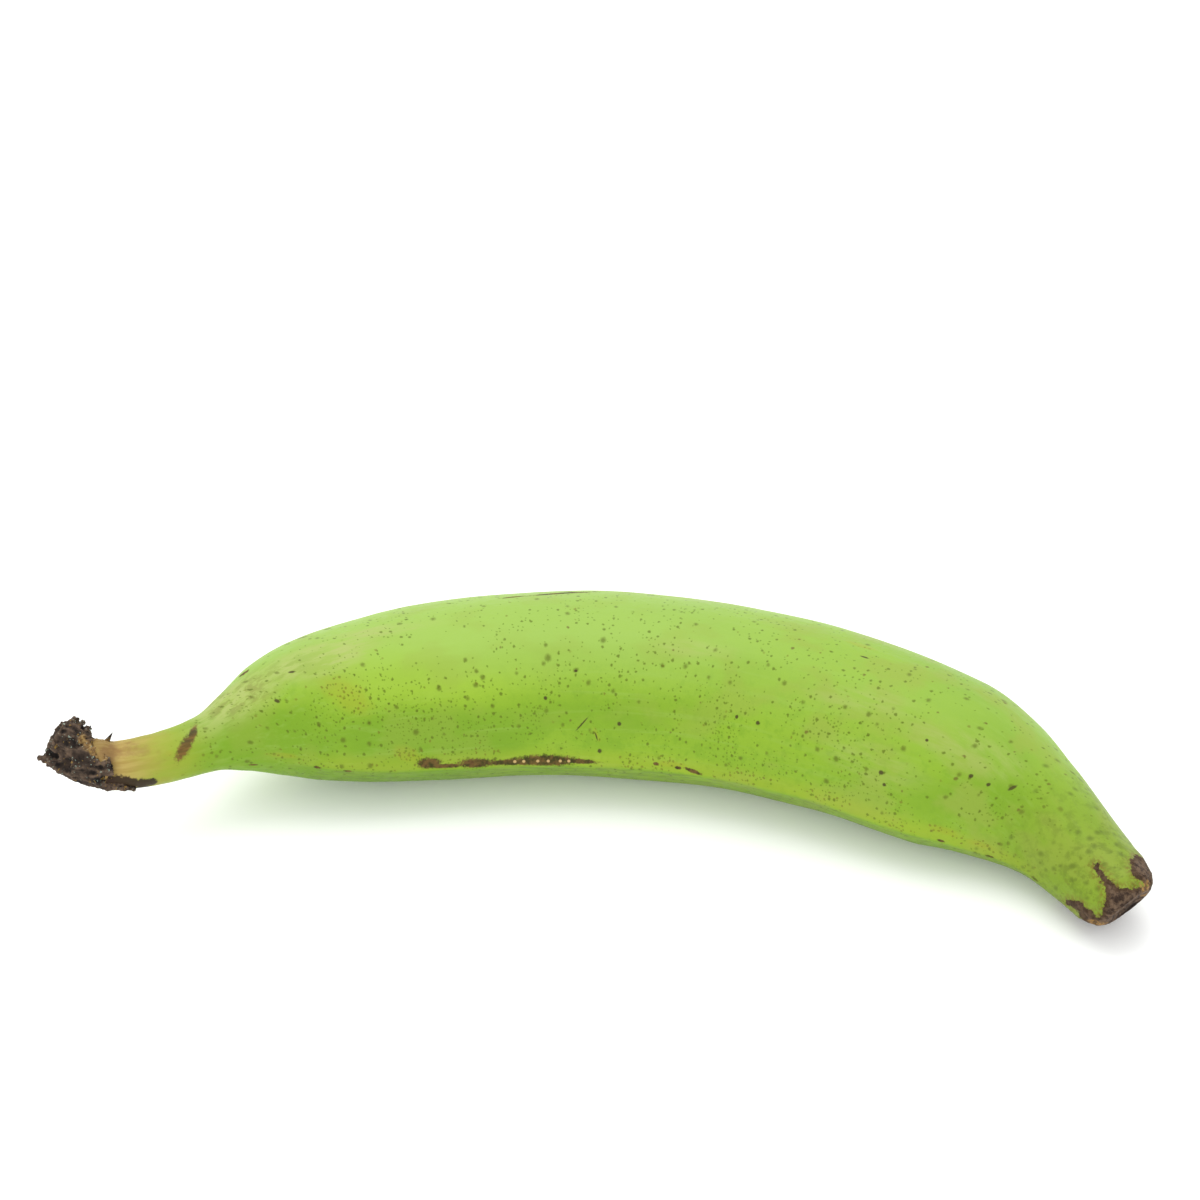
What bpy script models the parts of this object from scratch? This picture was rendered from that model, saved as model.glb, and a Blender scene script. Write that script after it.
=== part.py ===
"""A green plantain as picked, lying on its side: one closed solid, in metres, +Z up.

The fruit is one skin drawn round a bent middle line. The line starts at the torn crown, where
the finger was pulled off its hand, and ends at the dry blossom end. The middle of the object's
footprint is the origin, and the flat that it lies on is at Z = 0. The hollow side of the bend
looks along -Y. A turn is an angle round the middle line, in degrees: 0 looks out of the hollow
side and 90 looks up.
"""

import math

import bmesh
import bpy
from mathutils import Vector, noise

for old in list(bpy.data.objects):
    bpy.data.objects.remove(old)

# Driving dimensions
LENGTH = 0.2925  # along the middle line, from the crown's torn point to the blossom end
THICKNESS = 0.0440  # of the fullest part, without its ridges
START = (-0.1339, -0.0350)  # plan place of the crown's torn point, which centres the footprint

# Which way the middle line heads, in degrees to the left of +X, by distance along it
HEADING = (
    (0.000, 5.0),
    (0.013, 6.0),
    (0.025, 28.0),
    (0.047, 43.0),
    (0.056, 41.0),
    (0.069, 27.0),
    (0.093, 21.0),
    (0.117, 15.5),
    (0.142, 6.0),
    (0.167, -4.0),
    (0.191, -13.5),
    (0.212, -18.0),
    (0.237, -21.0),
    (0.255, -34.0),
    (0.273, -48.0),
    (0.292, -54.0),
)

# Height of the middle line over the table
HEIGHT = (
    (0.000, 0.0240),
    (0.021, 0.0215),
    (0.067, 0.0210),
    (0.090, 0.0206),
    (0.200, 0.0206),
    (0.232, 0.0190),
    (0.255, 0.0142),
    (0.275, 0.0108),
    (0.292, 0.0098),
)

# Half thickness, as a share of half THICKNESS
GIRTH = (
    (0.000, 0.02),
    (0.002, 0.08),
    (0.005, 0.12),
    (0.009, 0.19),
    (0.013, 0.26),
    (0.015, 0.27),
    (0.017, 0.25),
    (0.021, 0.27),
    (0.029, 0.29),
    (0.041, 0.32),
    (0.050, 0.45),
    (0.059, 0.63),
    (0.069, 0.77),
    (0.081, 0.86),
    (0.097, 0.93),
    (0.117, 0.97),
    (0.147, 0.99),
    (0.177, 0.98),
    (0.205, 0.96),
    (0.231, 0.92),
    (0.245, 0.79),
    (0.256, 0.65),
    (0.266, 0.55),
    (0.276, 0.49),
    (0.284, 0.455),
    (0.292, 0.42),
)

# The ridges: turn, and height as a share of the half thickness, at the stem end and at the
# blossom end, then how far it spreads and how wide its rounded edge is, in degrees
RIDGES = (
    (-15.0, -19.0, 0.135, 0.110, 20.0, 1.5),
    (50.0, 76.0, 0.085, 0.035, 24.0, 5.0),
    (126.0, 150.0, 0.075, 0.075, 23.0, 3.0),
    (-146.0, -132.0, 0.080, 0.080, 23.0, 3.0),
    (-66.0, -62.0, 0.008, 0.008, 20.0, 8.0),
)
RIDGED = ((0.030, 0.10), (0.060, 0.45), (0.095, 1.00), (0.240, 1.00), (0.270, 0.55))

# Lumps and hollows: distance along the line, turn, reach along and round it, and height
LUMPS = (
    (0.0070, 108.0, 0.0038, 56.0, 0.0074),
    (0.0100, -20.0, 0.0050, 42.0, 0.0010),
    (0.0070, 38.0, 0.0040, 14.0, -0.0012),
)

# The blossom end: distance short of LENGTH, and share of the section there. Its face is cut
# askew: each ring there leans forward at the top and on the hollow side, by these slopes.
TIP = (
    (0.0066, 1.00),
    (0.0036, 0.95),
    (0.0012, 0.85),
    (0.0001, 0.71),
    (0.0000, 0.60),
    (0.0010, 0.36),
    (0.0014, 0.00),
)
ASKEW_UP = 0.55
ASKEW_IN = 0.28
ASKEW = ((0.262, 0.0), (0.286, 1.0))

WAVER = 0.0004  # slow rises and dips of the whole skin
WAVER_TO = 0.022  # distance between them
CRUMPLE = ((0.000, 0.0007), (0.013, 0.0007), (0.018, 0.0001), (0.274, 0.0), (0.285, 0.0004))
CRUMPLE_TO = 0.004  # distance between the folds of the dry ends

SIDES = 48
RING_TO_RING = 0.0040
CROWN_RING_TO_RING = 0.0012
CROWN = 0.0200  # length of the dry torn crown
LINE_STEP = 0.0005  # between the points of the middle line


def smooth(table, at):
    """The table's value at this distance, on a smooth curve that never overshoots its points."""
    places = [row[0] for row in table]
    values = [row[1] for row in table]
    if at <= places[0]:
        return values[0]
    if at >= places[-1]:
        return values[-1]
    slopes = [(values[i + 1] - values[i]) / (places[i + 1] - places[i]) for i in range(len(table) - 1)]
    tangents = [slopes[0]]
    for before, after in zip(slopes, slopes[1:]):
        tangents.append(0.0 if before * after <= 0 else 2 * before * after / (before + after))
    tangents.append(slopes[-1])
    i = max(k for k in range(len(table) - 1) if places[k] <= at)
    span = places[i + 1] - places[i]
    t = (at - places[i]) / span
    return (
        (1 + 2 * t) * (1 - t) ** 2 * values[i]
        + t * (1 - t) ** 2 * span * tangents[i]
        + t * t * (3 - 2 * t) * values[i + 1]
        + t * t * (t - 1) * span * tangents[i + 1]
    )


def middle_line():
    """Points of the middle line, a LINE_STEP apart, from its headings and heights."""
    x, y = START
    points = [Vector((x, y, smooth(HEIGHT, 0)))]
    for i in range(round(LENGTH / LINE_STEP)):
        heading = math.radians(smooth(HEADING, (i + 0.5) * LINE_STEP))
        x += LINE_STEP * math.cos(heading)
        y += LINE_STEP * math.sin(heading)
        points.append(Vector((x, y, smooth(HEIGHT, (i + 1) * LINE_STEP))))
    return points


LINE = middle_line()


def middle(at):
    """The middle line's point at this distance, and its direction there."""
    i = min(max(int(at / LINE_STEP), 0), len(LINE) - 2)
    share = at / LINE_STEP - i
    before, after = LINE[max(i - 3, 0)], LINE[min(i + 4, len(LINE) - 1)]
    return LINE[i].lerp(LINE[i + 1], share), (after - before).normalized()


def apart(turn, other):
    """The angle between two turns, in degrees."""
    return abs((turn - other + 180) % 360 - 180)


def ridge_turn(ridge, at):
    """Which way this ridge faces at this distance: the fruit has a slight twist."""
    return ridge[0] + (ridge[1] - ridge[0]) * at / LENGTH


def ridge_height(ridge, at):
    """How high this ridge stands at this distance, as a share of the half thickness."""
    return smooth(RIDGED, at) * (ridge[2] + (ridge[3] - ridge[2]) * at / LENGTH)


def outreach(at, turn):
    """How far out from the middle line the skin is."""
    share = 1.0
    for ridge in RIDGES:
        spread, edge = ridge[4:]
        away = apart(turn, ridge_turn(ridge, at))
        rounded = math.sqrt(away * away + edge * edge) - edge
        share += ridge_height(ridge, at) * math.exp(-rounded / spread)
    out = share * smooth(GIRTH, at) * THICKNESS / 2
    for place, facing, reach, spread, height in LUMPS:
        out += height * math.exp(-(((at - place) / reach) ** 2) - (apart(turn, facing) / spread) ** 2)
    return out + relief(at, turn, out)


def relief(at, turn, out):
    """How far the skin here rises from the plain form, or dips into it."""
    lean = math.radians(turn)
    place = Vector((at, out * math.cos(lean), out * math.sin(lean)))
    folds = smooth(CRUMPLE, at) * noise.noise(place / CRUMPLE_TO)
    return WAVER * noise.noise(place / WAVER_TO) + folds


def skin(at, turn, share):
    """The skin's point at this distance and turn."""
    centre, along = middle(at)
    inner = along.cross(Vector((0, 0, 1))).normalized()
    up = inner.cross(along)
    lean = math.radians(turn)
    out = outreach(at, turn) * share
    forward = smooth(ASKEW, at) * out * (ASKEW_UP * math.sin(lean) + ASKEW_IN * math.cos(lean))
    point = centre + inner * (out * math.cos(lean)) + up * (out * math.sin(lean)) + along * forward
    point.z = max(point.z, 0.0)
    return point


def rings():
    """The rings' distances along the line, with each one's share of the section."""
    found = [(0.0, 0.0)]
    at = CROWN_RING_TO_RING
    while at < LENGTH - TIP[0][0] - RING_TO_RING / 2:
        found.append((at, 1.0))
        at += CROWN_RING_TO_RING if at < CROWN else RING_TO_RING
    return found + [(LENGTH - short, share) for short, share in TIP]


def peel():
    """The green skin's own material."""
    material = bpy.data.materials.new("peel")
    material.use_nodes = True
    shader = material.node_tree.nodes["Principled BSDF"]
    shader.inputs["Base Color"].default_value = (0.35, 0.55, 0.08, 1.0)
    shader.inputs["Roughness"].default_value = 0.45
    shader.inputs["Metallic"].default_value = 0.0
    return material


def plantain():
    """The whole fruit: a grid rolled round the middle line, closed to a point at both ends.

    Its sides are counted from the sharp ridge, so that one row of corners lies along that edge.
    """
    along = rings()
    bm = bmesh.new()
    bmesh.ops.create_grid(bm, x_segments=len(along) - 1, y_segments=SIDES, size=0.5)
    for vertex in bm.verts:
        at, share = along[round((vertex.co.x + 0.5) * (len(along) - 1))]
        side = round((vertex.co.y + 0.5) * SIDES) % SIDES
        vertex.co = skin(at, ridge_turn(RIDGES[0], at) + 360 * side / SIDES, share)
    bmesh.ops.remove_doubles(bm, verts=bm.verts, dist=1e-6)
    bmesh.ops.recalc_face_normals(bm, faces=bm.faces)
    mesh = bpy.data.meshes.new("plantain")
    bm.to_mesh(mesh)
    bm.free()
    mesh.shade_smooth()
    mesh.materials.append(peel())
    bpy.context.scene.collection.objects.link(bpy.data.objects.new("plantain", mesh))


plantain()
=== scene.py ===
"""A green plantain, picked and laid on its side on a white studio table."""

import functools
import math
import random

import bmesh
import bpy
from mathutils import Matrix, Vector, noise


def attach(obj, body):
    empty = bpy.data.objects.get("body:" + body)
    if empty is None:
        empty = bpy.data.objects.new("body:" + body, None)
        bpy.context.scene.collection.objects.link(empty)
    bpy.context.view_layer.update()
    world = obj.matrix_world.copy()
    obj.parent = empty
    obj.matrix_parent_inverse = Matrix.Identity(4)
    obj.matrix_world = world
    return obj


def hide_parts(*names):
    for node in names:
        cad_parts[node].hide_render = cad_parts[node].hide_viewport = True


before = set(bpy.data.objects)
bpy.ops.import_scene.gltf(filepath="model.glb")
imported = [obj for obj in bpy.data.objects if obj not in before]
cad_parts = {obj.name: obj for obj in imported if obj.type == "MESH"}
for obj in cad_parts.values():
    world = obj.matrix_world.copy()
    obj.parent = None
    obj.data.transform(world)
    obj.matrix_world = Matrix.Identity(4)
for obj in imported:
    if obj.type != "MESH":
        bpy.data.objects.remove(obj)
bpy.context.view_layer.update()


# The whole fruit in its waxy green peel, from the stalk under the torn crown to the blossom end:
# a skin that grew in one piece round a bent middle line, with five lengthwise ridges. It has the
# solid's own shape, drawn finer, and lies loose on the table.
# Distances run along the middle line from the crown's torn point. A turn is an angle round it, in
# degrees: 0 looks out of the hollow side of the bend and 90 looks up.
LENGTH = 0.2925
THICKNESS = 0.0440  # of the fullest part, without its ridges
START = (-0.1339, -0.0350)  # plan place of the crown's torn point
HEADING = (  # which way the middle line heads, in degrees to the left of +X
    (0.000, 5.0),
    (0.013, 6.0),
    (0.025, 28.0),
    (0.047, 43.0),
    (0.056, 41.0),
    (0.069, 27.0),
    (0.093, 21.0),
    (0.117, 15.5),
    (0.142, 6.0),
    (0.167, -4.0),
    (0.191, -13.5),
    (0.212, -18.0),
    (0.237, -21.0),
    (0.255, -34.0),
    (0.273, -48.0),
    (0.292, -54.0),
)
HEIGHT = (  # of the middle line over the table
    (0.000, 0.0240),
    (0.021, 0.0215),
    (0.067, 0.0210),
    (0.090, 0.0206),
    (0.200, 0.0206),
    (0.232, 0.0190),
    (0.255, 0.0142),
    (0.275, 0.0108),
    (0.292, 0.0098),
)
GIRTH = (  # half thickness, as a share of half THICKNESS
    (0.000, 0.02),
    (0.002, 0.08),
    (0.005, 0.12),
    (0.009, 0.19),
    (0.013, 0.26),
    (0.015, 0.27),
    (0.017, 0.25),
    (0.021, 0.27),
    (0.029, 0.29),
    (0.041, 0.32),
    (0.050, 0.45),
    (0.059, 0.63),
    (0.069, 0.77),
    (0.081, 0.86),
    (0.097, 0.93),
    (0.117, 0.97),
    (0.147, 0.99),
    (0.177, 0.98),
    (0.205, 0.96),
    (0.231, 0.92),
    (0.245, 0.79),
    (0.256, 0.65),
    (0.266, 0.55),
    (0.276, 0.49),
    (0.284, 0.455),
    (0.292, 0.42),
)
RIDGES = (  # turn and height at the stem end and at the blossom end, spread, and how round it is
    (-15.0, -19.0, 0.135, 0.110, 20.0, 1.5),
    (50.0, 76.0, 0.085, 0.035, 24.0, 5.0),
    (126.0, 150.0, 0.075, 0.075, 23.0, 3.0),
    (-146.0, -132.0, 0.080, 0.080, 23.0, 3.0),
    (-66.0, -62.0, 0.008, 0.008, 20.0, 8.0),
)
RIDGED = ((0.030, 0.10), (0.060, 0.45), (0.095, 1.00), (0.240, 1.00), (0.270, 0.55))
TIP = (  # distance short of LENGTH, and share of the section there
    (0.0066, 1.00),
    (0.0036, 0.95),
    (0.0012, 0.85),
    (0.0001, 0.71),
    (0.0000, 0.60),
    (0.0010, 0.36),
    (0.0014, 0.00),
)
TIP_RINGS = 36
ASKEW_UP = 0.55  # the end's face leans forward at the top, and on the hollow side
ASKEW_IN = 0.28
ASKEW = ((0.262, 0.0), (0.286, 1.0))
WAVER = 0.0004  # slow rises and dips of the whole skin, and the distance between them
WAVER_TO = 0.022
DRY_FOLDS = ((0.000, 0.0007), (0.013, 0.0007), (0.018, 0.0001), (0.274, 0.0), (0.285, 0.0004))
DRY_FOLD_TO = 0.004
WRINKLES = ((0.013, 0.0003), (0.022, 0.0), (0.283, 0.0), (0.291, 0.0004))
WRINKLE_TO = 0.0016
STALK_RIBS = ((0.018, 0.00016), (0.040, 0.00012), (0.060, 0.00004), (0.265, 0.00004), (0.280, 0.00012))
STALK_RIB_LONG = 0.030
STALK_RIB_TO = 0.0022
BLOSSOM_END = Vector((0.1250, -0.0340, 0.0120))
AZIMUTH = math.radians(9)  # the side that the next outlines are seen from, and the camera's
ELEVATION = math.radians(36)
RIGHTWARD = Vector((math.cos(AZIMUTH), math.sin(AZIMUTH), 0))
DOWN_FROM = Vector(
    (
        math.sin(AZIMUTH) * math.cos(ELEVATION),
        -math.cos(AZIMUTH) * math.cos(ELEVATION),
        math.sin(ELEVATION),
    )
)
UPWARD = DOWN_FROM.cross(RIGHTWARD)
DEAD_SKIN = (  # outlines in millimetres to the right of the blossom end's middle and above it
    (
        (-4.5, 7.8),
        (-3.6, 7.6),
        (-3.0, 6.4),
        (-1.9, 4.9),
        (-0.9, 3.8),
        (0.0, 2.6),
        (4.7, 2.4),
        (8.9, 3.0),
        (11.0, 1.0),
        (10.0, -3.0),
        (6.0, -7.0),
        (1.6, -8.5),
        (-4.0, -8.5),
        (-6.6, -5.8),
        (-7.4, -4.4),
        (-8.1, -3.1),
        (-9.0, -2.4),
        (-10.8, -1.5),
        (-10.3, -0.9),
        (-9.1, -1.3),
        (-7.7, -1.5),
        (-6.6, -2.6),
        (-5.5, -3.7),
        (-4.3, -4.7),
        (-3.5, -4.4),
        (-2.9, -2.8),
        (-2.3, -1.1),
        (-2.1, 0.7),
        (-2.3, 2.4),
        (-2.9, 3.9),
        (-3.7, 5.3),
        (-4.5, 6.6),
    ),
    (
        (4.7, 9.3),
        (6.2, 9.6),
        (8.0, 8.6),
        (9.8, 6.0),
        (10.0, 3.0),
        (7.6, 3.4),
        (6.1, 4.4),
        (4.7, 5.6),
        (4.0, 6.9),
        (4.0, 8.3),
    ),
)
DEAD_HOLLOW = ((1.4, -5.4), (3.2, -3.3), (5.0, -1.5), (7.4, -0.6), (6.4, -2.2), (4.2, -4.0))
DEAD_FROM = 0.265
HOLLOW_DEEP = 0.0009
HOLLOW_SLOPE = 0.8  # millimetres from the hollow's edge to its full depth
FARTHEST = -8.0  # millimetres: the hollow isn't carried on to the skin behind this
UNDER_CROWN = 0.0160  # the skin starts here, inside the crown
RIM_REACH = 0.0040  # it starts this much sooner where it faces RIM_TURN, on top of the stalk
RIM_TURN = 115.0
RIM_TO = 0.0240  # its rings are straight across from here on
SEAM = -72.0  # degrees round from the sharp ridge, where the fruit rests


@functools.cache
def smooth(table, at):
    """The table's value at this distance, on a smooth curve that never overshoots its points."""
    places = [row[0] for row in table]
    values = [row[1] for row in table]
    if at <= places[0]:
        return values[0]
    if at >= places[-1]:
        return values[-1]
    slopes = [(values[i + 1] - values[i]) / (places[i + 1] - places[i]) for i in range(len(table) - 1)]
    tangents = [slopes[0]]
    for before, after in zip(slopes, slopes[1:]):
        tangents.append(0.0 if before * after <= 0 else 2 * before * after / (before + after))
    tangents.append(slopes[-1])
    i = max(k for k in range(len(table) - 1) if places[k] <= at)
    span = places[i + 1] - places[i]
    t = (at - places[i]) / span
    return (
        (1 + 2 * t) * (1 - t) ** 2 * values[i]
        + t * (1 - t) ** 2 * span * tangents[i]
        + t * t * (3 - 2 * t) * values[i + 1]
        + t * t * (t - 1) * span * tangents[i + 1]
    )


LINE_STEP = 0.0005
middle_line = [Vector((*START, smooth(HEIGHT, 0)))]
for i in range(round(LENGTH / LINE_STEP)):
    heading = math.radians(smooth(HEADING, (i + 0.5) * LINE_STEP))
    x, y, z = middle_line[-1]
    x += LINE_STEP * math.cos(heading)
    y += LINE_STEP * math.sin(heading)
    middle_line.append(Vector((x, y, smooth(HEIGHT, (i + 1) * LINE_STEP))))


@functools.cache
def middle(at):
    """The middle line's point at this distance, and the ways along it, to the hollow side and up."""
    i = min(max(int(at / LINE_STEP), 0), len(middle_line) - 2)
    before, after = middle_line[max(i - 3, 0)], middle_line[min(i + 4, len(middle_line) - 1)]
    along = (after - before).normalized()
    inner = along.cross(Vector((0, 0, 1))).normalized()
    return middle_line[i].lerp(middle_line[i + 1], at / LINE_STEP - i), along, inner, inner.cross(along)


def out_from(at, turn, out):
    """The point this far out from the middle line, further forward where the end is askew."""
    centre, along, inner, up = middle(at)
    inwards = out * math.cos(math.radians(turn))
    upwards = out * math.sin(math.radians(turn))
    forward = smooth(ASKEW, at) * (ASKEW_UP * upwards + ASKEW_IN * inwards)
    return centre + inner * inwards + up * upwards + along * forward


def ridge_turn(ridge, at):
    """Which way this ridge faces at this distance: the fruit has a slight twist."""
    return ridge[0] + (ridge[1] - ridge[0]) * at / LENGTH


def apart(turn, other):
    """The angle between two turns, in degrees."""
    return abs((turn - other + 180) % 360 - 180)


def peel_reach(at, turn):
    """How far out from the middle line the peel is."""
    share = 1.0
    for ridge in RIDGES:
        spread, edge = ridge[4:]
        height = smooth(RIDGED, at) * (ridge[2] + (ridge[3] - ridge[2]) * at / LENGTH)
        away = apart(turn, ridge_turn(ridge, at))
        share += height * math.exp(-(math.sqrt(away * away + edge * edge) - edge) / spread)
    out = share * smooth(GIRTH, at) * THICKNESS / 2
    lean = math.radians(turn)
    straight = Vector((at, out * math.cos(lean), out * math.sin(lean)))
    out += WAVER * noise.noise(straight / WAVER_TO)
    out += smooth(DRY_FOLDS, at) * noise.noise(straight / DRY_FOLD_TO)
    out += smooth(WRINKLES, at) * (noise.ridged_multi_fractal(straight / WRINKLE_TO, 1, 2, 3, 1, 2) - 1)
    ribs = Vector((at / STALK_RIB_LONG, straight.y / STALK_RIB_TO, straight.z / STALK_RIB_TO))
    return out + smooth(STALK_RIBS, at) * noise.noise(ribs)


def depth_inside(place, outline):
    """How far inside the outline this place is, in its own measure: below 0 outside it."""
    gap = 99.0
    inside = False
    for start, end in zip(outline, outline[1:] + outline[:1]):
        start, end = Vector(start), Vector(end)
        share = min(max((place - start).dot(end - start) / (end - start).length_squared, 0.0), 1.0)
        gap = min(gap, (start.lerp(end, share) - place).length)
        if (start.y > place.y) != (end.y > place.y):
            crossing = start.x + (place.y - start.y) / (end.y - start.y) * (end.x - start.x)
            inside = inside != (place.x < crossing)
    return gap if inside else -gap


SIDES = 240
RING_TO_RING = 0.0010
DRY_RING_TO_RING = 0.0005  # on the stalk and at the blossom end
rings = [(UNDER_CROWN, 0.0), (UNDER_CROWN, 0.96)]
at = UNDER_CROWN
while at < LENGTH - TIP[0][0]:
    rings.append((at, 1.0))
    at += DRY_RING_TO_RING if at < 0.050 or at > 0.275 else RING_TO_RING
for i in range(TIP_RINGS + 1):
    step = i / TIP_RINGS * (len(TIP) - 1)
    low = min(int(step), len(TIP) - 2)
    short, share = Vector(TIP[low]).lerp(Vector(TIP[low + 1]), step - low)
    rings.append((LENGTH - short, share))

bm = bmesh.new()
bmesh.ops.create_grid(bm, x_segments=len(rings) - 1, y_segments=SIDES, size=0.5)
straightened = bm.verts.layers.float_vector.new("straight")
from_ridge = bm.verts.layers.float.new("from_ridge")
dead_skin = bm.verts.layers.float.new("dead_skin")
dead_hollow = bm.verts.layers.float.new("dead_hollow")
unrolled = bm.loops.layers.uv.new("unrolled")
on_peel = {}
for vertex in bm.verts:
    at, share = rings[round((vertex.co.x + 0.5) * (len(rings) - 1))]
    round_from_ridge = SEAM + 360 * (vertex.co.y + 0.5)
    turn = ridge_turn(RIDGES[0], at) + round_from_ridge
    if at < RIM_TO:
        sooner = RIM_REACH * max(math.cos(math.radians(turn - RIM_TURN)), 0.0)
        at -= sooner * (RIM_TO - at) / (RIM_TO - UNDER_CROWN)
    out = peel_reach(at, turn) * share
    vertex.co = out_from(at, turn, out)
    vertex.co.z = max(vertex.co.z, 0.0)
    vertex[straightened] = (at, out * math.cos(math.radians(turn)), out * math.sin(math.radians(turn)))
    nearest_ridge = min(apart(turn, ridge_turn(ridge, at)) for ridge in RIDGES[2:4])
    vertex[from_ridge] = math.radians(nearest_ridge) * out
    on_peel[vertex] = (at, math.radians(round_from_ridge) * smooth(GIRTH, at) * THICKNESS / 2)
    vertex[dead_skin] = vertex[dead_hollow] = -9.0
    if at > DEAD_FROM:
        from_end = (vertex.co - BLOSSOM_END) * 1000
        seen = Vector((from_end.dot(RIGHTWARD), from_end.dot(UPWARD)))
        vertex[dead_skin] = max(depth_inside(seen, outline) for outline in DEAD_SKIN)
        if from_end.dot(DOWN_FROM) > FARTHEST:
            vertex[dead_hollow] = depth_inside(seen, DEAD_HOLLOW)
            sunk = min(max(vertex[dead_hollow] / HOLLOW_SLOPE, 0.0), 1.0)
            vertex.co -= DOWN_FROM * HOLLOW_DEEP * sunk
for face in bm.faces:
    for loop in face.loops:
        loop[unrolled].uv = on_peel[loop.vert]
bmesh.ops.remove_doubles(bm, verts=bm.verts, dist=1e-6)
bmesh.ops.recalc_face_normals(bm, faces=bm.faces)
mesh = bpy.data.meshes.new("plantain_peel")
bm.to_mesh(mesh)
bm.free()
mesh.shade_smooth()
peel = bpy.data.objects.new("plantain_peel", mesh)
bpy.context.scene.collection.objects.link(peel)


class Shade:
    """A number or vector that varies over a surface: sums on it add the material's nodes."""

    def __init__(self, recipe, socket):
        self.recipe = recipe
        self.socket = socket

    def __add__(self, other):
        return self.recipe.maths("ADD", self, other)

    def __sub__(self, other):
        return self.recipe.maths("SUBTRACT", self, other)

    def __rsub__(self, other):
        return self.recipe.maths("SUBTRACT", other, self)

    def __mul__(self, other):
        return self.recipe.maths("MULTIPLY", self, other)

    __radd__ = __add__
    __rmul__ = __mul__


class Recipe:
    """One material's nodes."""

    def __init__(self, name):
        self.material = bpy.data.materials.new(name)
        self.material.use_nodes = True
        self.tree = self.material.node_tree
        self.shader = self.tree.nodes["Principled BSDF"]

    def node(self, kind, settings=None, inputs=None, output=0):
        """A new node of this kind, with its settings and inputs given."""
        made = self.tree.nodes.new("ShaderNode" + kind)
        for name, value in (settings or {}).items():
            setattr(made, name, value)
        for name, value in (inputs or {}).items():
            self.feed(made.inputs[name], value)
        return Shade(self, made.outputs[output])

    def feed(self, socket, value):
        """Give this input a shade, or a constant."""
        if isinstance(value, Shade):
            self.tree.links.new(value.socket, socket)
        else:
            socket.default_value = value

    def maths(self, operation, *values):
        return self.node("Math", {"operation": operation}, dict(enumerate(values)))

    def vector(self, operation, *values, output=0):
        return self.node("VectorMath", {"operation": operation}, dict(enumerate(values)), output)

    def split(self, vector):
        """A vector's three numbers."""
        made = self.node("SeparateXYZ", {}, {0: vector}).socket.node
        return [Shade(self, output) for output in made.outputs]

    def ramp(self, value, low, high, start=0.0, end=1.0):
        """Start where the value is at most low, end where it is at least high, and smooth between."""
        return self.node(
            "MapRange",
            {"interpolation_type": "SMOOTHSTEP"},
            {"Value": value, "From Min": low, "From Max": high, "To Min": start, "To Max": end},
        )

    def mix(self, share, first, second):
        """This share of the second colour over the first."""
        return self.node("Mix", {"data_type": "RGBA"}, {0: share, 6: first, 7: second}, output=2)

    def grain(self, place, size, detail=3.0, rough=0.55, stretch=(1, 1, 1), output=0):
        """Cloudy noise whose clouds are about this size, in metres."""
        scaled = self.vector("MULTIPLY", place, tuple(1 / (size * s) for s in stretch))
        return self.node(
            "TexNoise", {}, {"Vector": scaled, "Scale": 1.0, "Detail": detail, "Roughness": rough}, output
        )

    def specks(self, place, cell, radius, share, seed, soft=0.35):
        """Flat specks, in this share of the cells of this size: 1 in the middle of one, 0 off it."""
        moved = self.vector("MULTIPLY_ADD", place, (1 / cell,) * 3, (seed, seed * 1.7, 0.0))
        made = self.node(
            "TexVoronoi",
            {"voronoi_dimensions": "2D", "feature": "F1"},
            {"Vector": moved, "Scale": 1.0, "Randomness": 0.95},
        ).socket.node
        away = Shade(self, made.outputs[0])
        chance, bigness, _ = self.split(Shade(self, made.outputs[1]))
        reach = (bigness * 0.8 + 0.6) * (radius / cell)
        edge = soft * radius / cell
        chosen = self.ramp(chance - share, -0.01, 0.01, 1.0, 0.0)
        return self.ramp(away - reach, -edge, edge, 1.0, 0.0) * chosen

    def nearest(self, place, marks):
        """How far the nearest of these long marks is, as a share of its own reach: 1 on its edge."""
        closest = None
        for u, v, half_long, half_wide, lean in marks:
            mapped = self.node(
                "Mapping",
                {"vector_type": "TEXTURE"},
                {
                    "Vector": place,
                    "Location": (u, v, 0.0),
                    "Rotation": (0.0, 0.0, math.radians(lean)),
                    "Scale": (half_long, half_wide, 1.0),
                },
            )
            away = self.vector("LENGTH", mapped, output=1)
            closest = away if closest is None else self.maths("MINIMUM", closest, away)
        return closest

    def nearest_ball(self, place, balls):
        """How far the nearest of these balls is, as a share of its own radius: 1 on its surface."""
        closest = None
        for *centre, radius in balls:
            away = self.vector("DISTANCE", place, tuple(centre), output=1) * (1 / radius)
            closest = away if closest is None else self.maths("MINIMUM", closest, away)
        return closest


def colour(red, green, blue):
    """A colour given in the 0 to 255 numbers of a photograph."""
    parts = [part / 255 for part in (red, green, blue)]
    return (*[p / 12.92 if p <= 0.04045 else ((p + 0.055) / 1.055) ** 2.4 for p in parts], 1.0)


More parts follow.
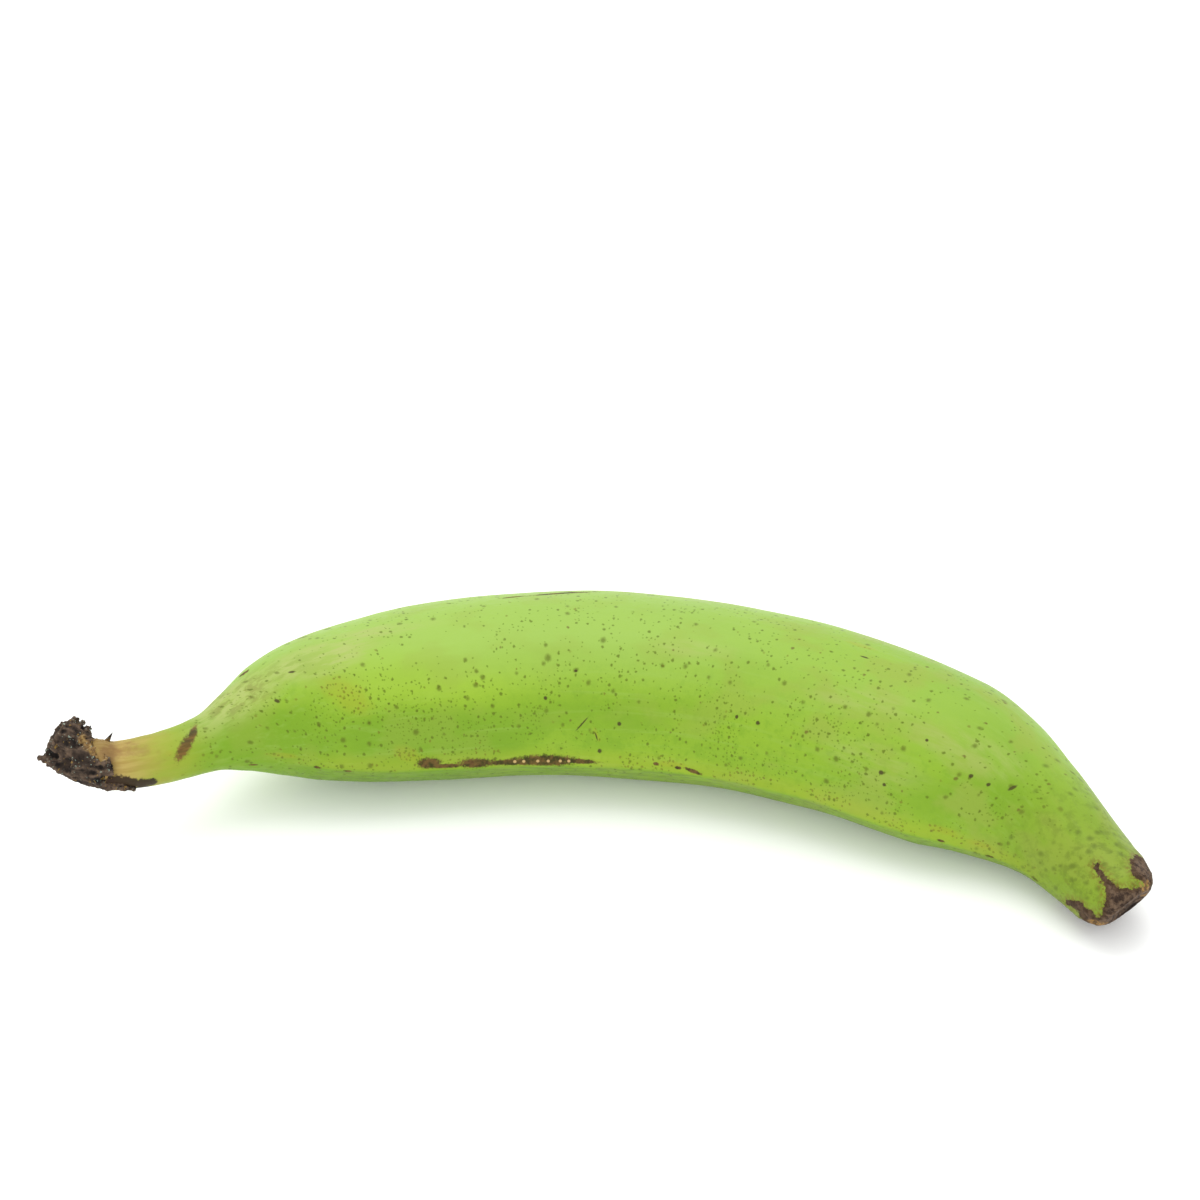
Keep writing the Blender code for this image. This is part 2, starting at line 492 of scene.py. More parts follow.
# The peel's own finish: waxy green skin, paler where it is dusty with bloom, and paler on its upper side
# with painted sheen, sprinkled with darker green and olive specks, yellower along the sharp ridge, tan
# and dry on the stalk, and brown at the blossom end. Marks are placed by distance along, distance
# round from the sharp ridge, half length, half width and lean. Each stretch of the fruit takes only its
# own marks.
GREEN = colour(134, 168, 42)
DEEP_GREEN = colour(113, 151, 32)
PALE_GREEN = colour(142, 174, 77)
KHAKI = colour(137, 156, 60)
BLOOM_PATCHES = (
    (0.0500, 0.0190, 0.0180, 0.0070, 36.0),
    (0.0700, 0.0290, 0.0200, 0.0060, 20.0),
    (0.0900, 0.0375, 0.0160, 0.0030, 4.0),
    (0.2190, 0.0150, 0.0170, 0.0060, 0.0),
    (0.2120, 0.0280, 0.0180, 0.0050, 8.0),
    (0.2380, 0.0250, 0.0180, 0.0060, -6.0),
    (0.1660, 0.0310, 0.0150, 0.0030, 2.0),
    (0.1450, 0.0700, 0.0350, 0.0090, 0.0),
    (0.0900, 0.0900, 0.0300, 0.0060, 0.0),
    (0.2300, 0.0750, 0.0300, 0.0060, 0.0),
)
OLIVE_MARKS = (
    (0.1430, 0.0313, 0.00090, 0.00090, 0.0),
    (0.1285, 0.0265, 0.00100, 0.00100, 0.0),
    (0.1280, 0.0296, 0.00060, 0.00060, 0.0),
    (0.1360, 0.0238, 0.00090, 0.00060, 20.0),
    (0.1130, 0.0156, 0.00065, 0.00065, 0.0),
    (0.1070, 0.0266, 0.00060, 0.00060, 0.0),
    (0.1095, 0.0239, 0.00060, 0.00060, 0.0),
    (0.1110, 0.0224, 0.00080, 0.00070, 0.0),
    (0.1090, 0.0207, 0.00080, 0.00070, 0.0),
    (0.0925, 0.0101, 0.00095, 0.00085, 0.0),
    (0.0735, 0.0082, 0.00085, 0.00080, 0.0),
    (0.0880, 0.0163, 0.00060, 0.00055, 0.0),
    (0.0675, 0.0119, 0.00070, 0.00065, 0.0),
    (0.0485, 0.0057, 0.00075, 0.00060, 0.0),
    (0.1845, 0.0069, 0.00070, 0.00060, 0.0),
    (0.2105, 0.0128, 0.00085, 0.00080, 0.0),
    (0.2090, 0.0065, 0.00090, 0.00075, 0.0),
    (0.2580, 0.0049, 0.00090, 0.00060, 10.0),
    (0.2600, 0.0059, 0.00060, 0.00060, 0.0),
    (0.2150, 0.0254, 0.00070, 0.00070, 0.0),
    (0.2090, 0.0253, 0.00060, 0.00060, 0.0),
    (0.1560, 0.0780, 0.00100, 0.00090, 0.0),
    (0.2050, 0.0850, 0.00110, 0.00090, 0.0),
    (0.1150, 0.0880, 0.00090, 0.00090, 0.0),
    (0.1800, 0.0980, 0.00120, 0.00080, 0.0),
)
YELLOW_BROWN_MARKS = (
    (0.0760, 0.0190, 0.0075, 0.0040, -30.0),
    (0.0900, 0.0045, 0.0045, 0.0022, -20.0),
    (0.1420, 0.0085, 0.0022, 0.0008, -60.0),
    (0.1640, 0.0022, 0.0050, 0.0009, 0.0),
    (0.0300, 0.0066, 0.0012, 0.0009, 0.0),
    (0.0260, 0.0088, 0.0010, 0.0007, 0.0),
    (0.2420, 0.0035, 0.0055, 0.0012, 0.0),
    (0.2530, 0.0028, 0.0045, 0.0010, 0.0),
    (0.0560, 0.0024, 0.0050, 0.0009, 0.0),
    (0.2050, 0.0450, 0.0040, 0.0012, 0.0),
)
DARK_MARKS = (
    (0.1275, 0.0172, 0.00055, 0.00050, 0.0),
    (0.1430, 0.0043, 0.00065, 0.00060, 0.0),
    (0.1820, 0.0168, 0.00050, 0.00048, 0.0),
    (0.1882, 0.0165, 0.00058, 0.00052, 0.0),
    (0.1485, 0.0115, 0.00060, 0.00055, 0.0),
    (0.2240, 0.0106, 0.00048, 0.00045, 0.0),
    (0.2420, 0.0190, 0.00058, 0.00052, 0.0),
    (0.2470, 0.0184, 0.00056, 0.00052, 0.0),
    (0.2530, 0.0194, 0.00110, 0.00058, 55.0),
    (0.2225, 0.0132, 0.00065, 0.00060, 0.0),
    (0.2305, 0.0240, 0.00040, 0.00038, 0.0),
    (0.0640, 0.0252, 0.00090, 0.00035, 10.0),
    (0.0575, 0.0166, 0.00065, 0.00055, 0.0),
    (0.1360, 0.0236, 0.00050, 0.00035, 0.0),
    (0.2075, 0.0404, 0.00110, 0.00030, 0.0),
    (0.1378, 0.0110, 0.00260, 0.00020, 45.0),
    (0.1420, 0.0080, 0.00120, 0.00022, -70.0),
    (0.0705, 0.0416, 0.00110, 0.00040, 0.0),
    (0.0765, 0.0442, 0.00090, 0.00040, 0.0),
    (0.1700, 0.0720, 0.00060, 0.00055, 0.0),
    (0.1330, 0.0960, 0.00055, 0.00050, 0.0),
    (0.2200, 0.0900, 0.00065, 0.00060, 0.0),
    (0.0960, 0.0760, 0.00060, 0.00055, 0.0),
)
RIDGE_SCARS = (
    (0.0955, 0.0020, 0.0034, 0.0015, 0.0),
    (0.1000, 0.0010, 0.0050, 0.0006, 0.0),
    (0.1080, 0.0014, 0.0052, 0.0013, 0.0),
    (0.1270, 0.0014, 0.0105, 0.0016, 0.0),
    (0.1190, 0.0012, 0.0100, 0.0009, 0.0),
    (0.1370, 0.0013, 0.0060, 0.0007, 0.0),
    (0.1595, 0.0019, 0.0009, 0.0005, 0.0),
    (0.1660, 0.0015, 0.0011, 0.0005, 0.0),
    (0.1705, 0.0011, 0.0028, 0.0006, -12.0),
    (0.0490, -0.0012, 0.0012, 0.0004, 0.0),
    (0.0660, 0.0001, 0.0011, 0.0005, 0.0),
    (0.0745, -0.0003, 0.0012, 0.0004, 0.0),
    (0.2560, 0.0001, 0.0013, 0.0004, 0.0),
    (0.2700, 0.0006, 0.0012, 0.0005, 0.0),
    (0.2420, 0.0004, 0.0012, 0.0004, 0.0),
    (0.1325, 0.0510, 0.0080, 0.0007, 14.0),
    (0.1210, 0.0488, 0.0030, 0.0005, 8.0),
    (0.0560, 0.0300, 0.0016, 0.0006, 40.0),
    (0.0500, 0.0262, 0.0011, 0.0005, 40.0),
)
BEADS_AT = (0.1185, 0.1210, 0.1250, 0.1280, 0.1315, 0.1340)
LATEX_BEADS = tuple((at, 0.0013, 0.00046, 0.00040, 0.0) for at in BEADS_AT)


def peel_paint(skin, first, last):
    """The green skin's colour between these distances, then its roughness and how it rises."""
    straight = skin.node("Attribute", {"attribute_name": "straight"}, output=1)
    unrolled = skin.node("UVMap", {"uv_map": "unrolled"})
    ridge_gap = skin.node("Attribute", {"attribute_name": "from_ridge"}, output=2)
    along, across, _ = skin.split(unrolled)

    def near(marks):
        mine = [mark for mark in marks if first - mark[2] * 1.5 < mark[0] < last + mark[2] * 1.5]
        return skin.nearest(unrolled, mine) if mine else 9.0

    clouds = skin.grain(straight, 0.028, stretch=(2.2, 1, 1))
    streaks = skin.grain(straight, 0.0014, detail=2.0, stretch=(26, 1, 1))
    mottle = skin.grain(straight, 0.0020, detail=4.0, rough=0.6)
    waxy = skin.grain(straight, 0.0095, detail=3.0, rough=0.5, stretch=(1.6, 1, 1))
    # Deeper green low on the front toward the stalk.
    deeper_low_toward_stalk = skin.ramp(along, 0.070, 0.150, 0.22, 0.0) * skin.ramp(across, 0.008, 0.019, 1.0, 0.0)
    paint = skin.mix(skin.ramp(clouds - deeper_low_toward_stalk, 0.30, 0.62), DEEP_GREEN, GREEN)
    paint = skin.mix(skin.ramp(streaks, 0.50, 0.74) * 0.30, paint, PALE_GREEN)
    marbled = skin.ramp(mottle, 0.54, 0.32) * skin.ramp(across, 0.016, 0.032, 0.56, 0.26)
    paint = skin.mix(marbled, paint, DEEP_GREEN)

    sunny = skin.ramp(along, 0.060, 0.080) * skin.ramp(along, 0.105, 0.135, 1.0, 0.0)
    paint = skin.mix(sunny * skin.ramp(across, 0.012, 0.022) * 0.7, paint, colour(148, 180, 46))
    paint = skin.mix(skin.ramp(along, 0.150, 0.200) * 0.22, paint, DEEP_GREEN)

    # Bloom is pale waxy dust: most on the upper side, blotchy, and rubbed off in lengthwise scuffs.
    # The upper side is also painted paler as painted sheen, more toward the stalk.
    # Painted sheen and bloom: a paler green over the upper side.
    bloom_and_sheen_above = skin.ramp(across + (clouds - 0.5) * 0.02, 0.014, 0.036)
    paint = skin.mix(bloom_and_sheen_above * skin.ramp(along, 0.150, 0.210, 0.85, 0.40), paint, PALE_GREEN)
    dull = skin.ramp(along, 0.150, 0.210, 0.30, 0.62) * skin.ramp(waxy, 0.46, 0.64)
    paint = skin.mix(dull, paint, KHAKI)
    dusty = skin.ramp((clouds - 0.5) * 0.8 + near(BLOOM_PATCHES), 0.3, 1.15, 1.0, 0.0)
    scuffs = skin.grain(straight, 0.0018, detail=4.0, rough=0.65, stretch=(7, 1, 1))
    dusty = dusty * skin.ramp(along, 0.070, 0.120, 1.0, 0.45)
    paint = skin.mix(dusty * skin.ramp(scuffs, 0.36, 0.62, 0.20, 0.95), paint, colour(157, 170, 94))
    grimy = skin.ramp(along, 0.052, 0.078, 1.0, 0.0) * skin.ramp(scuffs, 0.52, 0.40)
    paint = skin.mix(dusty * grimy * 0.55, paint, colour(132, 128, 74))

    # The sharp ridge has a yellow belt above it and a dull strip below.
    body = skin.ramp(along, 0.050, 0.075) * skin.ramp(along, 0.262, 0.280, 1.0, 0.0)
    belt = skin.ramp(across, -0.0004, 0.0008) * skin.ramp(across, 0.0018, 0.0060, 1.0, 0.0) * body
    paint = skin.mix(belt * 0.35, paint, colour(156, 168, 44))
    below = skin.ramp(across, 0.0002, -0.0010) * skin.ramp(across, -0.0200, -0.0120) * body
    fibres = skin.ramp(skin.grain(straight, 0.0009, detail=3.0, stretch=(7, 1, 1)), 0.42, 0.62)
    paint = skin.mix(below * (fibres * 0.5 + 0.12), paint, colour(96, 116, 44))

    # Specks, from the finest to the biggest, and freckles where the skin yellows.
    wobble = skin.vector("SUBTRACT", skin.grain(straight, 0.0007, detail=1.0, output=1), (0.5, 0.5, 0.5))
    shaken = skin.vector("MULTIPLY_ADD", wobble, (0.0006,) * 3, unrolled)
    low_front = ((0.0950, 0.0120, 0.0600, 0.0150, 0.0), (0.2050, 0.0130, 0.0550, 0.0150, 0.0))
    crowded = skin.ramp(skin.nearest(unrolled, low_front), 0.5, 1.1, 1.0, 0.0)
    patchy = skin.ramp(skin.grain(straight, 0.011, detail=2.0), 0.38, 0.62)
    yellowing = skin.ramp((mottle - 0.5) * 0.8 + near(YELLOW_BROWN_MARKS), 0.40, 1.20, 1.0, 0.0)
    paint = skin.mix(yellowing * 0.35, paint, colour(150, 150, 36))
    fine = skin.specks(shaken, 0.00110, 0.00018, patchy * (crowded * 0.5 + 0.22) + 0.06, 3.0)
    paint = skin.mix(fine * 0.62, paint, colour(84, 106, 4))
    small = skin.specks(shaken, 0.0023, 0.00029, patchy * 0.36 + crowded * 0.20 + 0.04, 7.0, soft=0.6)
    paint = skin.mix(small * 0.74, paint, colour(80, 94, 6))
    medium = skin.specks(shaken, 0.0066, 0.00045, 0.36, 11.0, soft=0.9)
    paint = skin.mix(medium * 0.66, paint, colour(80, 88, 10))
    browned = skin.specks(shaken, 0.0095, 0.00032, 0.26, 23.0, soft=0.6)
    paint = skin.mix(browned * 0.72, paint, colour(92, 72, 26))
    yellower = yellowing * 0.7 + belt * patchy * 0.6
    freckled = skin.specks(shaken, 0.0012, 0.00026, yellower + 0.01, 19.0, soft=0.5)
    paint = skin.mix(freckled * 0.65, paint, colour(104, 98, 20))

    # Olive marks sit in the skin, and dark ones on it.
    ragged = (skin.grain(straight, 0.0006, detail=3.0, rough=0.65) - 0.5) * 0.9
    sunk = skin.ramp(ragged + near(OLIVE_MARKS), 0.30, 1.30, 1.0, 0.0)
    paint = skin.mix(sunk * 0.70, paint, colour(80, 90, 10))
    dotted = skin.ramp(ragged * 0.6 + near(DARK_MARKS), 0.60, 1.25, 1.0, 0.0)
    paint = skin.mix(dotted * 0.90, paint, colour(60, 48, 20))

    # Rubbed ridges have dark corky scars, and beads of dried latex.
    scarred = skin.ramp(ragged * 1.4 + near(RIDGE_SCARS), 0.70, 1.15, 1.0, 0.0)
    rubbed = skin.ramp(skin.grain(straight, 0.016, detail=3.0, stretch=(1.6, 1, 1)), 0.54, 0.60) * body
    worn = skin.ramp(ridge_gap + ragged * 0.0006, 0.0001, 0.0006, 1.0, 0.0) * rubbed
    scarred = skin.maths("MAXIMUM", scarred, worn)
    cork = skin.mix(skin.ramp(mottle, 0.35, 0.65), colour(42, 24, 14), colour(100, 68, 40))
    paint = skin.mix(scarred * 0.92, paint, cork)
    beads = skin.ramp(ragged * 0.2 + near(LATEX_BEADS), 0.7, 1.2, 1.0, 0.0)
    paint = skin.mix(beads * 0.90, paint, colour(196, 166, 110))
    return paint, skin.ramp(mottle, 0.3, 0.7, 0.42, 0.52) + scarred * 0.25, straight, along


def finish_peel(skin, paint, roughness, rise):
    """Give the skin its colour, roughness and relief, and put it in the peel's next slot."""
    skin.feed(skin.shader.inputs["Base Color"], paint)
    skin.feed(skin.shader.inputs["Roughness"], roughness)
    skin.shader.inputs["Specular IOR Level"].default_value = 0.17
    bump = skin.node("Bump", {}, {"Strength": 0.40, "Distance": 0.0003, "Height": rise})
    skin.feed(skin.shader.inputs["Normal"], bump)
    mesh.materials.append(skin.material)


def pores(skin, straight):
    """How the smooth skin rises in small pores and lengthwise fibres."""
    fibres = skin.grain(straight, 0.0014, detail=2.0, stretch=(26, 1, 1))
    return skin.grain(straight, 0.0009, detail=2.0) * 0.30 + fibres * 0.35


# The stalk is tan and dry by the crown, then yellow, then green, with a scar, a dark stain and painted
# shade under the crown's rim.
STALK_TO = 0.055
STALK_SCARS = ((0.0338, 0.0072, 0.0036, 0.0012, 48.0), (0.0366, 0.0098, 0.0030, 0.0008, 52.0))
STAIN = (
    (-0.1150, -0.0385, 0.0203, 0.0021),
    (-0.1130, -0.0380, 0.0204, 0.0021),
    (-0.1110, -0.0372, 0.0197, 0.0019),
    (-0.1088, -0.0361, 0.0193, 0.0018),
    (-0.1066, -0.0352, 0.0189, 0.0014),
    (-0.1128, -0.0370, 0.0180, 0.0022),
    (-0.1090, -0.0350, 0.0172, 0.0018),
)
skin = Recipe("plantain_stalk")
here = skin.node("TexCoord", output=3)
paint, roughness, straight, along = peel_paint(skin, 0.0, STALK_TO)
ragged = (skin.grain(straight, 0.0006, detail=3.0, rough=0.65) - 0.5) * 0.9
fray = (skin.grain(straight, 0.0040, stretch=(3, 1, 1)) - 0.5) * 0.012
yellowed = skin.ramp(along + fray, 0.024, 0.044, 1.0, 0.0)
paint = skin.mix(yellowed * 0.80, paint, colour(149, 156, 52))
tanned = skin.ramp(along + fray, 0.017, 0.032, 1.0, 0.0)
fibrous = skin.ramp(skin.grain(straight, 0.0012, detail=3.0, stretch=(8, 1, 1)), 0.35, 0.65)
paint = skin.mix(tanned, paint, skin.mix(fibrous, colour(156, 132, 70), colour(172, 150, 86)))
clouded = skin.ramp(skin.grain(straight, 0.0048, detail=4.0, rough=0.6), 0.46, 0.64) * tanned
paint = skin.mix(clouded * 0.55, paint, colour(130, 94, 60))
# Painted shade: a browner band round the stalk where the crown's rim overhangs it.
rim_shade = skin.ramp(along + fray * 0.3, 0.0160, 0.0195, 1.0, 0.0)
paint = skin.mix(rim_shade * 0.5, paint, colour(104, 76, 48))
scratched = skin.nearest(skin.node("UVMap", {"uv_map": "unrolled"}), STALK_SCARS) + ragged * 1.6
scab = skin.mix(fibrous, colour(56, 32, 18), colour(112, 74, 38))
paint = skin.mix(skin.ramp(scratched, 0.70, 1.40, 0.90, 0.0), paint, scab)
smeared = ragged * 0.6 + (skin.grain(here, 0.0022, detail=3.0) - 0.5) * 1.4
stained = skin.ramp(skin.nearest_ball(here, STAIN) + smeared, 0.95, 1.25, 1.0, 0.0)
paint = skin.mix(stained * 0.95, paint, colour(38, 23, 18))
crust = skin.grain(straight, 0.0007, detail=4.0, rough=0.7)
barky = skin.ramp(along, 0.018, 0.034, 1.0, 0.0)
finish_peel(skin, paint, roughness + tanned * 0.25, pores(skin, straight) + crust * barky)

# The green body, a stretch at a time.
BODY_STRETCHES = (STALK_TO, 0.098, 0.128, 0.165, 0.215, 0.245)
for first, last in zip(BODY_STRETCHES, BODY_STRETCHES[1:]):
    skin = Recipe("plantain_peel")
    paint, roughness, straight, _ = peel_paint(skin, first, last)
    finish_peel(skin, paint, roughness, pores(skin, straight))

# The blossom end is dead brown skin, darkest round its edge, with painted shade making the hollow under
# it near black, and frayed tan fibres along its lower side and at its corner. The green skin near it is
# blotchy.
TAN_FRAY = (
    (0.1208, -0.0388, 0.0078, 0.0014),
    (0.1220, -0.0390, 0.0074, 0.0018),
    (0.1236, -0.0385, 0.0070, 0.0014),
    (0.1312, -0.0350, 0.0168, 0.0015),
    (0.1328, -0.0335, 0.0160, 0.0016),
    (0.1326, -0.0312, 0.0110, 0.0014),
)
skin = Recipe("plantain_blossom_end")
here = skin.node("TexCoord", output=3)
paint, roughness, straight, along = peel_paint(skin, BODY_STRETCHES[-1], LENGTH)
fading = skin.ramp(along, 0.246, 0.280)
paint = skin.mix(fading * 0.55, paint, colour(118, 134, 36))
blotches = skin.ramp(skin.grain(here, 0.0026, detail=5.0, rough=0.62), 0.44, 0.66) * fading
paint = skin.mix(blotches * 0.50, paint, colour(84, 102, 22))
unrolled = skin.node("UVMap", {"uv_map": "unrolled"})
dotted = skin.specks(unrolled, 0.0026, 0.00050, fading * 0.45, 31.0, soft=1.1)
paint = skin.mix(dotted * 0.55, paint, colour(70, 84, 14))
torn = (skin.grain(here, 0.0020, detail=5.0, rough=0.72) - 0.5) * 3.4
depth = skin.node("Attribute", {"attribute_name": "dead_skin"}, output=2) + torn
dead = skin.ramp(depth, -0.40, -0.10)
drying = skin.ramp(depth, -2.6, 0.0)
broken = skin.ramp(skin.grain(here, 0.0008, detail=3.0, rough=0.7), 0.42, 0.60)
paint = skin.mix(drying * (broken * 0.85 + 0.12), paint, colour(108, 96, 28))
crust = skin.grain(here, 0.0014, detail=5.0, rough=0.7)
husk = skin.mix(skin.ramp(crust, 0.38, 0.62), colour(50, 36, 27), colour(104, 84, 66))
husk = skin.mix(skin.ramp(depth, 0.2, 1.3, 0.6, 0.0), husk, colour(64, 44, 22))
paint = skin.mix(dead, paint, husk)
frayed = skin.ramp(skin.nearest_ball(here, TAN_FRAY) + torn * 0.25, 0.60, 1.20, 1.0, 0.0)
paint = skin.mix(frayed * (broken * 0.8 + 0.1), paint, colour(158, 122, 68))
# Painted shade: near black in the hollow under the blossom end.
hollow_shade = skin.node("Attribute", {"attribute_name": "dead_hollow"}, output=2) + torn * 0.3
hollow_shade = skin.ramp(hollow_shade, -0.3, 0.5)
paint = skin.mix(hollow_shade * 0.9, paint, colour(26, 16, 12))
finish_peel(skin, paint, roughness + dead * 0.28, pores(skin, straight) + crust * dead * 2.0)

uvs = mesh.uv_layers["unrolled"].data
for face in mesh.polygons:
    at = sum(uvs[loop].uv.x for loop in face.loop_indices) / face.loop_total
    face.material_index = sum(at > start for start in BODY_STRETCHES)
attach(peel, "root")
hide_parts("plantain")


# The dry crown, where the finger was torn off its hand: a shrunken knob, a stub folded over the
# stalk's end and a pointed shred, all one lump of dead brown fibre grown onto the stalk. Limbs
# run from one point to another, with a radius at each.
LIMBS = (
    ((-0.1342, -0.0352, 0.0233), (-0.1300, -0.0352, 0.0225), 0.0003, 0.0019),
    ((-0.1300, -0.0352, 0.0225), (-0.1240, -0.0358, 0.0213), 0.0019, 0.0033),
    ((-0.1240, -0.0358, 0.0213), (-0.1178, -0.0358, 0.0212), 0.0033, 0.0044),
    ((-0.1322, -0.0345, 0.0243), (-0.1295, -0.0335, 0.0262), 0.0009, 0.0026),
    ((-0.1268, -0.0314, 0.0268), (-0.1262, -0.0306, 0.0282), 0.0046, 0.0040),
    ((-0.1290, -0.0320, 0.0262), (-0.1280, -0.0302, 0.0284), 0.0030, 0.0026),
    ((-0.1250, -0.0312, 0.0268), (-0.1239, -0.0301, 0.0290), 0.0030, 0.0024),
    ((-0.1276, -0.0302, 0.0288), (-0.1256, -0.0300, 0.0296), 0.0022, 0.0024),
    ((-0.1254, -0.0318, 0.0256), (-0.1202, -0.0330, 0.0236), 0.0034, 0.0040),
    ((-0.1270, -0.0340, 0.0240), (-0.1200, -0.0342, 0.0225), 0.0030, 0.0044),
    ((-0.1174, -0.0380, 0.0192), (-0.1124, -0.0374, 0.0186), 0.0014, 0.0011),
    ((-0.1124, -0.0374, 0.0186), (-0.1104, -0.0362, 0.0178), 0.0010, 0.0008),
)
CRUMBS = 260
FIBRES = 34
CROWN_GRAIN = 0.00018
FURROW_LONG = 0.0060
FURROW_TO = 0.0024
FURROW_DEEP = 0.00060
PIT_TO = 0.0008
PIT_DEEP = 0.00020


def limb(bm, start, end, start_radius, end_radius, segments=32):
    """A tapered rod from one point to another."""
    start, end = Vector(start), Vector(end)
    facing = (end - start).to_track_quat("Z", "Y").to_matrix().to_4x4()
    bmesh.ops.create_cone(
        bm,
        cap_ends=True,
        segments=segments,
        radius1=start_radius,
        radius2=end_radius,
        depth=(end - start).length,
        matrix=Matrix.Translation((start + end) / 2) @ facing,
    )


bm = bmesh.new()
# The stub's torn edge is cut slanting across the front of the stalk.
limb(bm, (-0.1262, -0.0352, 0.0234), (-0.1105, -0.0315, 0.0213), 0.0040, 0.0081)
cut = bmesh.ops.bisect_plane(
    bm,
    geom=bm.verts[:] + bm.edges[:] + bm.faces[:],
    plane_co=(-0.1163, -0.0379, 0.0244),
    plane_no=(0.415, 0.850, -0.325),
    clear_outer=True,
)
edges = [part for part in cut["geom_cut"] if isinstance(part, bmesh.types.BMEdge)]
bmesh.ops.edgeloop_fill(bm, edges=edges)
for start, end, start_radius, end_radius in LIMBS:
    limb(bm, start, end, start_radius, end_radius)
    bmesh.ops.create_icosphere(bm, subdivisions=3, radius=start_radius, matrix=Matrix.Translation(start))
chance = random.Random(7)
for _ in range(CRUMBS):
    start, end, start_radius, end_radius = chance.choice(LIMBS[:8])
    share = chance.random()
    centre = Vector(start).lerp(Vector(end), share)
    radius = start_radius + (end_radius - start_radius) * share
    outwards = Vector([chance.gauss(0, 1) for _ in range(3)]).normalized()
    size = chance.uniform(0.0002, 0.0006)
    place = Matrix.Translation(centre + outwards * (radius - size / 2))
    bmesh.ops.create_icosphere(bm, subdivisions=2, radius=size, matrix=place)
mesh = bpy.data.meshes.new("lumps")
bm.to_mesh(mesh)
bm.free()
lumps = bpy.data.objects.new("lumps", mesh)
bpy.context.scene.collection.objects.link(lumps)
remesh = lumps.modifiers.new("one lump", "REMESH")
remesh.mode = "VOXEL"
remesh.voxel_size = CROWN_GRAIN
bpy.context.view_layer.update()
shrunk = lumps.evaluated_get(bpy.context.evaluated_depsgraph_get())
mesh = bpy.data.meshes.new_from_object(shrunk)
bpy.data.objects.remove(lumps)
bm = bmesh.new()
bm.from_mesh(mesh)
bm.normal_update()
raised = bm.verts.layers.float.new("raised")
rise = {}
for vertex in bm.verts:
    furrow = Vector((vertex.co.x / FURROW_LONG, vertex.co.y / FURROW_TO, vertex.co.z / FURROW_TO))
    folds = noise.ridged_multi_fractal(furrow, 1.0, 2.0, 4, 1.0, 2.0)
    pits = noise.noise(vertex.co / PIT_TO)
    rise[vertex] = FURROW_DEEP * (folds - 1.3) + PIT_DEEP * pits
    vertex[raised] = folds / 2.4 + 0.15 * pits
moves = {vertex: vertex.normal * by for vertex, by in rise.items()}
for vertex, move in moves.items():
    vertex.co += move
# Torn fibres stand out of it all over, and one thorn of them on the stalk beside it.
surface = [vertex for vertex in bm.verts if vertex.co.x < -0.1180]
for _ in range(FIBRES):
    vertex = chance.choice(surface)
    wild = Vector([chance.gauss(0, 0.5) for _ in range(3)])
    long = chance.uniform(0.0004, 0.0013)
    foot = vertex.co - vertex.normal * 0.0006
    limb(bm, foot, foot + (vertex.normal + wild).normalized() * long, 0.00020, 0.00003, segments=5)
limb(bm, out_from(0.0155, 118, 0.0052), out_from(0.0172, 121, 0.0078), 0.0008, 0.00005, segments=8)
bm.to_mesh(mesh)
bm.free()
mesh.name = "plantain_crown"
mesh.shade_smooth()
crown = bpy.data.objects.new("plantain_crown", mesh)
bpy.context.scene.collection.objects.link(crown)

bark = Recipe("dry_crown")
here = bark.node("TexCoord", output=3)
raised = bark.node("Attribute", {"attribute_name": "raised"}, output=2)
patches = bark.grain(here, 0.0030, detail=5.0, rough=0.65)
crust = bark.grain(here, 0.0007, detail=4.0, rough=0.7)
# Painted shade: the crown is near black down in its furrows and pits and lighter brown on its ridges.
ridges_over_furrow_shade = bark.ramp(raised + (crust - 0.5) * 0.6, 0.30, 0.90)
paint = bark.mix(ridges_over_furrow_shade, colour(20, 14, 11), colour(110, 91, 75))
paint = bark.mix(bark.ramp(patches, 0.40, 0.70) * 0.5, paint, colour(84, 68, 56))
TAN_STRIP = (
    (-0.1226, -0.0342, 0.0293, 0.0018),
    (-0.1212, -0.0350, 0.0288, 0.0020),
    (-0.1198, -0.0358, 0.0281, 0.0019),
    (-0.1184, -0.0364, 0.0273, 0.0016),
    (-0.1175, -0.0368, 0.0267, 0.0012),
    (-0.1200, -0.0325, 0.0285, 0.0017),
    (-0.1182, -0.0322, 0.0280, 0.0020),
    (-0.1164, -0.0325, 0.0275, 0.0020),
    (-0.1195, -0.0285, 0.0225, 0.0045),
)
torn = (bark.grain(here, 0.0010, detail=3.0, rough=0.65) - 0.5) * 1.0
strip = bark.ramp(bark.nearest_ball(here, TAN_STRIP) + torn, 0.70, 1.15, 1.0, 0.0)
straw = bark.mix(bark.ramp(crust, 0.35, 0.65), colour(96, 70, 40), colour(166, 136, 84))
paint = bark.mix(strip * 0.9, paint, straw)
rusty = bark.ramp(bark.grain(here, 0.0010, detail=2.0), 0.64, 0.70)
paint = bark.mix(rusty * 0.6, paint, colour(150, 118, 52))
mouldy = bark.ramp(bark.grain(here, 0.0028, detail=1.0), 0.46, 0.60)
mould = bark.ramp(bark.grain(here, 0.00055, detail=2.0), 0.62, 0.70) * mouldy
paint = bark.mix(mould * 0.8, paint, colour(160, 180, 164))
bark.feed(bark.shader.inputs["Base Color"], paint)
bark.shader.inputs["Roughness"].default_value = 0.88
bark.shader.inputs["Specular IOR Level"].default_value = 0.25
bark.feed(
    bark.shader.inputs["Normal"],
    bark.node("Bump", {}, {"Strength": 0.7, "Distance": 0.0004, "Height": crust}),
)
mesh.materials.append(bark.material)
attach(crown, "root")
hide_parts("plantain")


